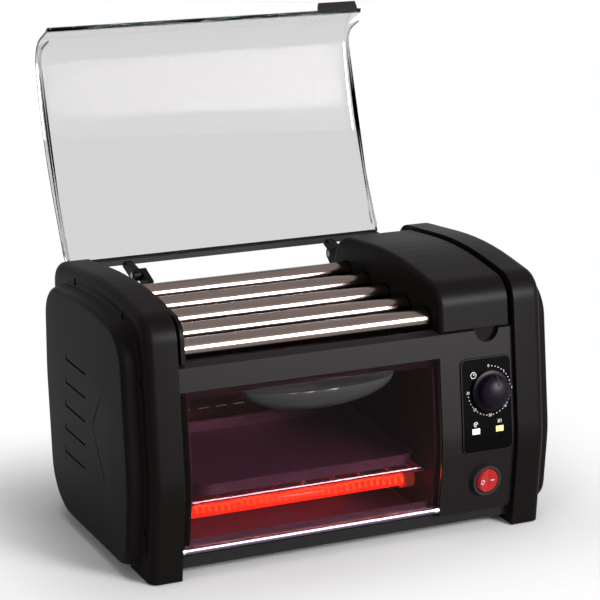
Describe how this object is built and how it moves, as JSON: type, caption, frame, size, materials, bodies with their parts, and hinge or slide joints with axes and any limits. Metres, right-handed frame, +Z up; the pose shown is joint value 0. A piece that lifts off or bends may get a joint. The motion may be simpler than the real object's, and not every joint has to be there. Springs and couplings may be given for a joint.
{
  "type": "hot dog toaster",
  "caption": "Countertop hot dog toaster: driven steel rollers under a clear hinged lid, over a small bun oven with a tinted drop-down door, timer knob and rocker switch.",
  "frame": {"origin": "on the surface that the machine stands on, under the middle of its width and of its depth with the lid open", "axes": "+X to the machine's right, -Y to its front, +Z up"},
  "size_m": [0.356, 0.3163, 0.3628],
  "materials": {
    "black_plastic": "fine moulded texture",
    "cover_plastic": "satin moulded",
    "control_face": "satin printed",
    "handle_plastic": "satin",
    "knob_plastic": "satin",
    "switch_plastic": "satin",
    "red_plastic": "gloss",
    "foot_rubber": "matt",
    "zinc_steel": "zinc plated",
    "dark_steel": "satin black",
    "oven_enamel": "dark enamel",
    "bright_steel": "polished stainless",
    "motor_steel": "satin",
    "gear_nylon": "natural nylon",
    "pinion_brass": "machined",
    "timer_case": "phenolic",
    "ceramic": "unglazed",
    "quartz": "ruby glow",
    "hot_wire": "glowing",
    "clear_lid": "clear, faint smoke",
    "smoked_glass": "dark tint",
    "lamp_white": "lit",
    "lamp_green": "lit"
  },
  "bodies": {
    "root": {"left_end_cap": "black_plastic", "right_end_cap": "black_plastic", "cap_screws": "dark_steel", "foot_pads": "foot_rubber", "left_side_plate": "dark_steel", "right_side_plate": "dark_steel", "base_pan": "dark_steel", "rear_panel": "dark_steel", "left_bed_wall": "black_plastic", "drive_housing": "black_plastic", "front_cover": "cover_plastic", "oven_left_wall": "oven_enamel", "oven_right_wall": "oven_enamel", "drip_plate": "dark_steel", "quartz_tubes": "quartz", "heating_coils": "hot_wire", "heater_end_caps": "ceramic", "rack_rails": "zinc_steel", "gear_plate_inner": "zinc_steel", "gear_plate_outer": "zinc_steel", "plate_spacers": "zinc_steel", "roller_bushes": "gear_nylon", "drive_motor": "motor_steel", "timer_body": "timer_case", "switch_body": "switch_plastic", "control_plate": "control_face", "roll_lens": "lamp_white", "heat_lens": "lamp_green", "hinge_brackets": "black_plastic", "hinge_pins": "bright_steel", "door_pivots": "zinc_steel", "cord_gland": "switch_plastic"},
    "lid": {"lid_shell": "clear_lid", "lid_front_strip": "black_plastic", "lid_rear_bar": "black_plastic"},
    "door": {"door_glass": "smoked_glass", "door_handle": "handle_plastic", "door_rod": "bright_steel"},
    "rack": {"wire_rack": "bright_steel", "bun_tray": "oven_enamel"},
    "crumb_drawer": {"crumb_tray": "oven_enamel"},
    "roller_1": {"roller_1": "bright_steel", "roller_gear_1": "gear_nylon"},
    "roller_2": {"roller_2": "bright_steel", "roller_gear_2": "gear_nylon"},
    "roller_3": {"roller_3": "bright_steel", "roller_gear_3": "gear_nylon"},
    "roller_4": {"roller_4": "bright_steel", "roller_gear_4": "gear_nylon"},
    "roller_5": {"roller_5": "bright_steel", "roller_gear_5": "gear_nylon"},
    "idler_1": {"idler_gear_1": "gear_nylon"},
    "idler_2": {"idler_gear_2": "gear_nylon"},
    "idler_3": {"idler_gear_3": "gear_nylon"},
    "idler_4": {"idler_gear_4": "gear_nylon"},
    "pinion": {"motor_pinion": "pinion_brass"},
    "knob": {"timer_knob": "knob_plastic"},
    "switch_rocker": {"rocker": "red_plastic"}
  },
  "joints": [
    {"name": "lid_hinge", "type": "hinge", "parent": "root", "child": "lid", "pos_m": [0, 0.0633, 0.1685], "axis": [1, 0, 0], "range_deg": [0, 112]},
    {"name": "door_hinge", "type": "hinge", "parent": "root", "child": "door", "pos_m": [-0.0315, -0.14245, 0.021], "axis": [1, 0, 0], "range_deg": [0, 85]},
    {"name": "rack_slide", "type": "slide", "parent": "root", "child": "rack", "axis": [0, -1, 0], "range_m": [0, 0.0375]},
    {"name": "crumb_tray_slide", "type": "slide", "parent": "root", "child": "crumb_drawer", "axis": [0, 1, 0], "range_m": [0, 0.1]},
    {"name": "roller_1_spin", "type": "hinge", "parent": "root", "child": "roller_1", "pos_m": [0, -0.1113, 0.166], "axis": [1, 0, 0], "continuous": true},
    {"name": "roller_2_spin", "type": "hinge", "parent": "root", "child": "roller_2", "pos_m": [0, -0.0783, 0.166], "axis": [1, 0, 0], "continuous": true},
    {"name": "roller_3_spin", "type": "hinge", "parent": "root", "child": "roller_3", "pos_m": [0, -0.0453, 0.166], "axis": [1, 0, 0], "continuous": true},
    {"name": "roller_4_spin", "type": "hinge", "parent": "root", "child": "roller_4", "pos_m": [0, -0.0123, 0.166], "axis": [1, 0, 0], "continuous": true},
    {"name": "roller_5_spin", "type": "hinge", "parent": "root", "child": "roller_5", "pos_m": [0, 0.0207, 0.166], "axis": [1, 0, 0], "continuous": true},
    {"name": "idler_1_spin", "type": "hinge", "parent": "root", "child": "idler_1", "pos_m": [0.091, -0.0948, 0.166], "axis": [1, 0, 0], "continuous": true},
    {"name": "idler_2_spin", "type": "hinge", "parent": "root", "child": "idler_2", "pos_m": [0.091, -0.0618, 0.166], "axis": [1, 0, 0], "continuous": true},
    {"name": "idler_3_spin", "type": "hinge", "parent": "root", "child": "idler_3", "pos_m": [0.091, -0.0288, 0.166], "axis": [1, 0, 0], "continuous": true},
    {"name": "idler_4_spin", "type": "hinge", "parent": "root", "child": "idler_4", "pos_m": [0.091, 0.0042, 0.166], "axis": [1, 0, 0], "continuous": true},
    {"name": "pinion_spin", "type": "hinge", "parent": "root", "child": "pinion", "pos_m": [0.091, -0.0453, 0.151], "axis": [1, 0, 0], "continuous": true},
    {"name": "timer_turn", "type": "hinge", "parent": "root", "child": "knob", "pos_m": [0.1175, -0.13941, 0.112], "axis": [0, 0.9849, -0.1732], "range_deg": [0, 270]},
    {"name": "rocker_tilt", "type": "hinge", "parent": "root", "child": "switch_rocker", "pos_m": [0.1145, -0.14658, 0.04197], "axis": [0, 0.0304, -0.9995], "range_deg": [0, 20]}
  ],
  "couplings": [
    {"joint": "rack_slide", "follows": "door_hinge", "m_per_rad": 0.025},
    {"joint": "roller_2_spin", "follows": "roller_1_spin", "ratio": 1},
    {"joint": "roller_3_spin", "follows": "roller_1_spin", "ratio": 1},
    {"joint": "roller_4_spin", "follows": "roller_1_spin", "ratio": 1},
    {"joint": "roller_5_spin", "follows": "roller_1_spin", "ratio": 1},
    {"joint": "idler_1_spin", "follows": "roller_1_spin", "ratio": -1.2},
    {"joint": "idler_2_spin", "follows": "roller_1_spin", "ratio": -1.2},
    {"joint": "idler_3_spin", "follows": "roller_1_spin", "ratio": -1.2},
    {"joint": "idler_4_spin", "follows": "roller_1_spin", "ratio": -1.2},
    {"joint": "pinion_spin", "follows": "roller_1_spin", "ratio": -1.5}
  ]
}
